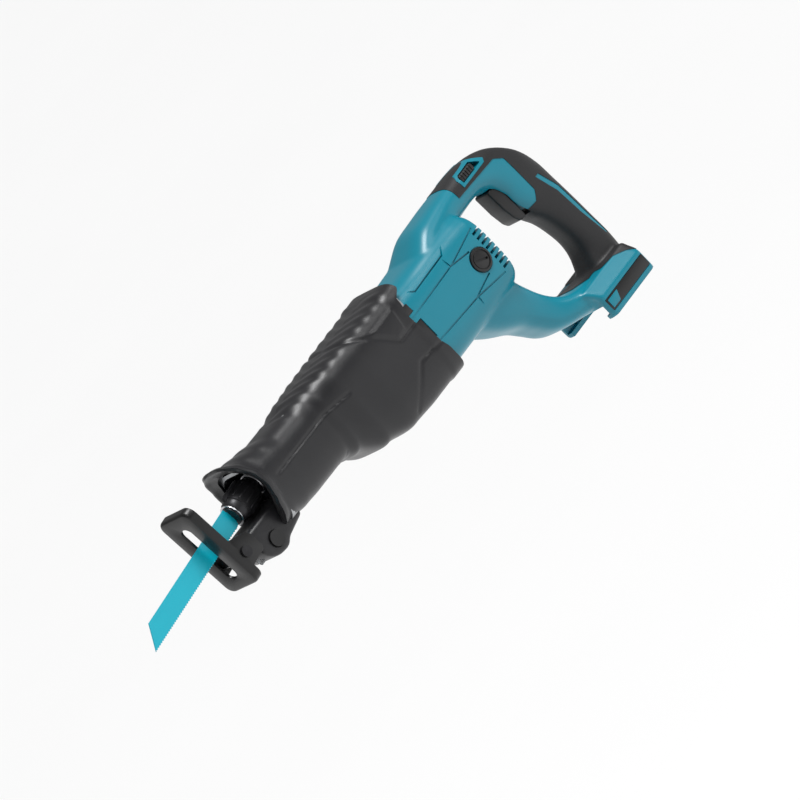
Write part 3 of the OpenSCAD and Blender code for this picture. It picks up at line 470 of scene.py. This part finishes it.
shell = {
    "voxel": 1.5,
    # station, half width, underside, top, squareness
    "motor": [(-258, 35.2, -62, 19, 4.2), (-275, 36.2, -63, 20.5, 4.0), (-300, 36.8, -63, 20, 3.8),
              (-335, 37.3, -62.5, 20.5, 4.0), (-362, 37.4, -61, 20, 4.0), (-374, 37.2, -60, 19, 4.0),
              (-379, 36, -58, 16, 3.8), (-382, 32.5, -54, 11, 3.4)],
    # centre x and z, half depth, half width
    "neck": [(-318, -2, 18, 34), (-338, 5, 21, 31), (-356, 12, 21.5, 27), (-376, 19, 14.8, 23),
             (-400, 20.5, 13.6, 19.5), (-424, 19.8, 14.4, 18), (-444, 12, 18.5, 17.5), (-457, -4, 22.5, 17.5),
             (-461, -20, 24, 17.2), (-464.5, -33, 21.5, 17), (-468, -46, 18, 17), (-470.5, -62, 15.8, 17),
             (-471.8, -80, 14.8, 17), (-470.5, -97, 16.5, 18), (-466, -113, 19.5, 20)],
    "arm": [(-341, -34, 33, 32), (-356, -60, 25, 28), (-370.5, -79, 17.5, 24), (-379.5, -92, 15.2, 23),
            (-389.5, -104, 14.5, 24), (-404, -112, 12.2, 27), (-430, -119, 12.5, 29), (-455, -122, 13, 30)],
    "grip": [(-396, 48), (-396, 20), (-449, 17.5), (-457, 11), (-458, -26), (-452, -33.5), (-432, -34), (-426, -60),
             (-398, -88), (-402, -96.5), (-418, -103.5), (-434, -107.5), (-459, -109), (-470, -114), (-481, -123),
             (-505, -124), (-505, 48)],
    "stripe": [(-467, -20), (-471.5, -20), (-479, -40), (-480.5, -68), (-482.5, -97), (-480.5, -97), (-476, -68),
               (-474, -42)],
    "lockFrame": [(-407.5, 22), (-407.5, 30), (-411.5, 33.6), (-434, 33.6), (-443, 25), (-440, 22)],
    "lockWindow": [(-410.5, 24.5), (-410.5, 29.5), (-413, 31.8), (-431, 31.8), (-437.5, 25.5), (-436.5, 24.5)],
}


def makeShellBase():
    print("shell base")
    bm = bmesh.new()
    stations = [s for s in range(-258, -380, -3)] + [-378, -379.5, -380.6, -381.6]
    rings = []
    for s in stations:
        wide, low, high, power = between(shell["motor"], s)
        middle = (low + high) / 2
        rings.append([(s, y, z + middle) for y, z in polarRing(wide, (high - low) / 2, power, 96)])
    bridgeRings(bm, rings)
    bridgeRings(bm, sweepRings(smoothPath(shell["neck"]), 3.0))
    bridgeRings(bm, sweepRings(smoothPath(shell["arm"]), 3.6))
    foot = {"low": [(-478, -37.8), (-415.5, 37.8)], "high": [(-476, -30), (-408, 30)]}
    rings = []
    for z, key in ((-141, "low"), (-121, "low"), (-108.5, "high")):
        (x0, y0), (x1, y1) = foot[key]
        wide, tall = (x1 - x0) / 2, (y1 - y0) / 2
        rings.append([(x + (x0 + x1) / 2, y, z) for x, y in roundedRing(wide, tall, 4)])
    bridgeRings(bm, rings)
    obj = keepMesh("shellBase", bm)
    remesh = obj.modifiers.new("weld", "REMESH")
    remesh.mode, remesh.voxel_size = "VOXEL", shell["voxel"] * mm
    smooth = obj.modifiers.new("smooth", "SMOOTH")
    smooth.factor, smooth.iterations = 0.5, 8
    settle(obj)
    return obj


def copyOf(obj, name, swell=0):
    twin = bpy.data.objects.new(name, obj.data.copy())
    bpy.context.scene.collection.objects.link(twin)
    if swell:
        push = twin.modifiers.new("swell", "DISPLACE")
        push.strength, push.mid_level = swell * mm, 0
        settle(twin)
    return twin


def thinLine(points, y, deep=1.6, half=0.55):
    parts = []
    for (ax, az), (bx, bz) in zip(points, points[1:]):
        along = Vector((bx - ax, bz - az)).normalized()
        side = Vector((-along.y, along.x)) * half
        over = along * half
        corners = [(ax - over.x + side.x, az - over.y + side.y), (bx + over.x + side.x, bz + over.y + side.y),
                   (bx + over.x - side.x, bz + over.y - side.y), (ax - over.x - side.x, az - over.y - side.y)]
        parts.append(sidePiece("groove", corners, y - deep, y + deep))
    return parts


seams = {
    "upper": [(-262, -6.5), (-334, -4.5), (-372, 1.5)],
    "lower": [(-262, -34.5), (-330, -38), (-367, -43.5)],
    "partFront": [(-330, 19), (-330, 10.4), (-332, -4.5)],
    "partCap": [(-332, -4.5), (-349, -8), (-354, -9)],
    "partLow": [(-354, -33.5), (-345, -35), (-331, -37.5), (-330, -52)],
    "shoulder": [(-281, 15), (-292, 5.5), (-334, 6.5), (-344, 14)],
}


def makeShells():
    base = makeShellBase()
    print("grip")
    gripBody = copyOf(base, "softGrip", 0.45)
    zone = sidePiece("gripZone", shell["grip"], -60, 60)
    stripe = sidePiece("stripeZone", shell["stripe"], -60, 60)
    combine(zone, stripe)
    frameRing = sidePiece("frameZone", shell["lockFrame"], -60, 60)
    window = sidePiece("windowZone", shell["lockWindow"], -60, 60)
    lockFrame = copyOf(base, "lockFrame", 0.95)
    combine(frameRing, window)
    combine(lockFrame, frameRing, "INTERSECT")
    combine(gripBody, zone, "INTERSECT", keep=True)
    frameHole = sidePiece("frameHole", shell["lockFrame"], -60, 60)
    combine(gripBody, frameHole)
    combine(base, zone)
    print("housing")
    for side in (-1, 1):
        grooves = []
        for name, points in seams.items():
            grooves += thinLine(points, side * 37.6, 1.9 if name != "shoulder" else 4.5, 0.75)
        combine(base, joined("seamLines", grooves))
    slots = []
    for side in (-1, 1):
        slots += [((-390, -369), sorted((side * 25, side * 42)), (-4.5 - i * 5.3, -2 - i * 5.3)) for i in range(8)]
        slots += [((-277, -262), sorted((side * 35.3, side * 42)), (-31, -11)),
                  ((-277, -262), sorted((side * 35.3, side * 42)), (-3, 6))]
        slots += [((-476, -417), sorted((side * 37.0, side * 45)), (-136.5, -124.5))]
    slots += [((-470, -400), (-27, 27), (-143, -128)), ((-470, -404), (-32, 32), (-137, -128)),
              ((-449, -428), (-11, 11), (-36.5, 3))]
    combine(base, joined("cutBlocks", [blocks("cutBlock", [box]) for box in slots]))
    for side in (-1, 1):
        combine(base, roundBar("capSeat", controls["capX"], controls["capZ"], *sorted((side * 36.4, side * 45)), 11.2))
    combine(gripBody, blocks("triggerRoom", [((-449, -428), (-11, 11), (-36.5, 3))]))
    base.name = "tealHousing"
    finishPiece(base, "teal_plastic", "root", ["housing_left", "housing_right"], 32)
    finishPiece(gripBody, "soft_grip", "root", ["grip_left", "grip_right"], 32)
    finishPiece(lockFrame, "teal_plastic", "root", (), 32)
    # one black piece: the blocks on the battery foot are its black side panels; the blocks in the motor vents are
    # painted shade
    panelsAndVentShade = []
    for side in (-1, 1):
        panelsAndVentShade.append(((-475.5, -417.5), sorted((side * 36.5, side * 37.9)), (-136, -125)))
        # painted shade: black plates set just inside the two motor vents on each side, where there is only shade
        panelsAndVentShade.append(((-276.8, -258), sorted((side * 34.9, side * 35.7)), (-30.8, -11.2)))
        panelsAndVentShade.append(((-276.8, -258), sorted((side * 34.9, side * 35.7)), (-2.8, 5.8)))
    finishPiece(blocks("footPanelsAndVentShade", panelsAndVentShade, 0.5), "black_plastic", "root")
    tag = [(-419, -126.5), (-433, -126.5), (-429, -134.5), (-419, -134.5)]
    bm = bmesh.new()
    for side in (-1, 1):
        extrudeSide(bm, tag, *sorted((side * 37.4, side * 38.5)), 0.35, 2)
    finishPiece(keepMesh("footTags", bm), "teal_plastic", "root")


controls = {
    "capX": -357.5, "capZ": -21, "capRadius": 10.4, "hollowRadius": 8.6, "bossRadius": 7.6, "sides": 64,
    "trigger": [(-426.4, 2), (-427.2, -18), (-429.2, -30), (-432, -35), (-436, -36), (-440, -36), (-440, 2)],
    "triggerHalf": 10.5,
    "lock": [(-429, 25), (-411, 25), (-411, 31.2), (-429, 31.2)], "lockHalf": 19.2,
    "lockRibs": 5, "lockRibPitch": 3,
}


def makeControls():
    print("controls")
    x, z, sides = controls["capX"], controls["capZ"], controls["sides"]
    radius = controls["hollowRadius"]
    turns = [2 * math.pi * i / sides for i in range(sides)]
    ring = [(x + radius * math.cos(a), z + radius * math.sin(a)) for a in turns]
    for side, node in ((1, "brush_cap_left"), (-1, "brush_cap_right")):
        y0, y1 = sorted((side * 35.5, side * 38.6))
        cap = roundBar("brushCap" + ("Left" if side > 0 else "Right"), x, z, y0, y1, controls["capRadius"], 0.8, sides)
        hollow = sidePiece("capHollow", ring, *sorted((side * 37.7, side * 40)))
        combine(cap, hollow)
        boss = roundBar("capBoss", x, z, *sorted((side * 36, side * 38.3)), controls["bossRadius"], 0.6, sides)
        combine(cap, boss, "UNION")
        combine(cap, thinLine([(x - 5, z - 2.5), (x + 5, z + 2.5)], side * 39, 2.2, 1.0)[0])  # coin slot
        finishPiece(cap, "black_plastic", "root", [node])
    half = controls["triggerHalf"]
    trigger = sidePiece("triggerPaddle", controls["trigger"], -half, half, 2.6, 4)
    finishPiece(trigger, "black_plastic", "trigger_body", ["trigger"])
    half = controls["lockHalf"]
    button = sidePiece("lockButton", controls["lock"], -half, half, 1.2, 3)
    starts = [-426 + i * controls["lockRibPitch"] for i in range(controls["lockRibs"])]
    ribs = blocks("buttonRibs", [((rib, rib + 1), (s, s + 1.4), (24, 33)) for rib in starts for s in (-20, 18.6)])
    combine(button, ribs)
    finishPiece(button, "black_plastic", "lock_off_body", ["lock_off_button"])


shoe = {
    "halfWide": 22, "halfTall": 41.5, "corner": 8, "drop": 0.5,
    "edge": ((-8, 0), (-2.4, 0), (-1.2, 0.35), (-0.4, 1.1), (0, 2.3)),  # x and inset
    "slotWide": 6.5, "slotTall": 28.5, "slotCorner": 6.2, "slotDrop": 1.5,
    "slotEdge": ((0, 0.9), (-0.5, 0.2), (-2.5, 0)),  # x and growth
    "dish": (-2.5, -8), "dishWide": 19.5, "dishTall": 39, "dishCorner": 5.5,
    "ear": [(-4, -2), (-8, -2), (-18, -6), (-25, -9.5), (-27, -13), (-27, -27), (-25, -30), (-4, -31)],
    "earSpans": ((19.5, 22), (-22, -19.5)),
}


def makeShoe():
    print("shoe")
    bm = bmesh.new()
    rings = []
    for x, inset in shoe["edge"]:
        outline = roundedRing(shoe["halfWide"] - inset, shoe["halfTall"] - inset, shoe["corner"] - inset)
        rings.append([(x, y, z - shoe["drop"]) for y, z in outline])
    for x, grow in shoe["slotEdge"]:
        outline = roundedRing(shoe["slotWide"] + grow, shoe["slotTall"] + grow, shoe["slotCorner"])
        rings.append([(x, y, z - shoe["slotDrop"]) for y, z in outline])
    for x in shoe["dish"]:
        outline = roundedRing(shoe["dishWide"], shoe["dishTall"], shoe["dishCorner"])
        rings.append([(x, y, z - shoe["drop"]) for y, z in outline])
    bridgeRings(bm, rings, looped=True)
    plate = keepMesh("shoePlate", bm)
    for y0, y1 in shoe["earSpans"]:
        combine(plate, sidePiece("shoeEar", shoe["ear"], y0, y1, 0.6, 2), "UNION")
    plate.data.transform(tilt)
    finishPiece(plate, "shoe_steel", "shoe_plate", ["shoe"])


sleeve = {
    # the last four points are the pocket for the blade pin
    "outline": [(-42.6, 9.4), (-42.6, 10.4), (-44.2, 11.6), (-49, 11.8), (-49.6, 12.5), (-68, 12.5), (-70.4, 11.4),
                (-70.4, 9.4), (-55, 9.4), (-55, 11.3), (-49.2, 11.3), (-49.2, 9.4)],
    "segments": 96, "ribs": 12, "ribHalf": 0.8, "rib": [(-51, 11.6), (-66, 11.6), (-65, 13.1), (-52, 13.1)],
    "lug": [(-44.8, 10.8), (-68.4, 10.8), (-67, 14.9), (-47, 14.9)], "lugHalf": 2,
}


def makeSleeve():
    print("clamp sleeve")
    bm = bmesh.new()
    turned(bm, sleeve["outline"], sleeve["segments"])
    for i in range(sleeve["ribs"]):
        rib = bmesh.new()
        extrudeSide(rib, sleeve["rib"], -sleeve["ribHalf"], sleeve["ribHalf"], 0.3, 2)
        turn = Matrix.Rotation(math.radians(360 / sleeve["ribs"] * i), 4, "X")
        bmesh.ops.transform(rib, matrix=turn, verts=rib.verts)
        copied = bpy.data.meshes.new("rib")
        rib.to_mesh(copied)
        rib.free()
        bm.from_mesh(copied)
    extrudeSide(bm, sleeve["lug"], -sleeve["lugHalf"], sleeve["lugHalf"], 0.6, 2)
    bmesh.ops.transform(bm, matrix=tilt, verts=bm.verts)
    finishPiece(keepMesh("clampSleeve", bm), "clamp_steel", "clamp_sleeve_body", ["clamp_sleeve"])


nodeFinish = {
    "gear_housing": "cast_alloy", "gear_housing_screws": "zinc_steel", "housing_screws": "zinc_steel",
    "front_bush": "bronze", "rear_bush": "bronze", "rod_seal": "seal_rubber", "crank_bearing_upper": "bearing_steel",
    "crank_bearing_lower": "bearing_steel", "motor_bearing_front": "bearing_steel",
    "motor_bearing_rear": "bearing_steel", "motor_can": "zinc_steel", "magnets": "ferrite",
    "fan_baffle": "black_plastic", "brush_holders": "brass_parts", "carbon_brushes": "carbon",
    "switch_unit": "black_plastic", "terminal_block": "black_plastic", "terminals": "brass_parts",
    "power_leads": "lead_sleeve", "led_lens": "clear_lens", "led_board": "circuit_board", "crank_gear": "gear_steel",
    "crank_shaft": "bearing_steel", "crank_roller": "bearing_steel", "armature_shaft": "bearing_steel",
    "armature_core": "gear_steel", "armature_windings": "copper", "commutator": "copper", "fan": "black_plastic",
    "pinion": "gear_steel", "plunger_rod": "bearing_steel", "crosshead": "gear_steel", "blade_holder": "clamp_steel",
    "blade": "blade_paint", "clamp_spring": "zinc_steel", "clamp_ring": "zinc_steel", "blade_pin": "bearing_steel",
    "shoe_holder": "clamp_steel", "shoe_pin": "clamp_steel", "shoe_button": "black_plastic",
    "shoe_button_spring": "zinc_steel",
}


def dressNodes():
    print("frame nodes")
    for name, finish in nodeFinish.items():
        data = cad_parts[name].data
        data.materials.clear()
        data.materials.append(makeMaterial(finish))


floorPlane = {"size": 30, "level": -0.95}  # metres


def makeFloor():
    print("floor")
    bm = bmesh.new()
    bmesh.ops.create_grid(bm, x_segments=1, y_segments=1, size=floorPlane["size"])
    bmesh.ops.translate(bm, verts=bm.verts, vec=(0, 0, floorPlane["level"]))
    floor = keepMesh("paleFloor", bm)
    floor.data.materials.append(makeMaterial("floor"))


placeCamera()
placeLights()
makeFloor()
dressNodes()
makeBoot()
makeShells()
makeControls()
makeShoe()
makeSleeve()
print("done")
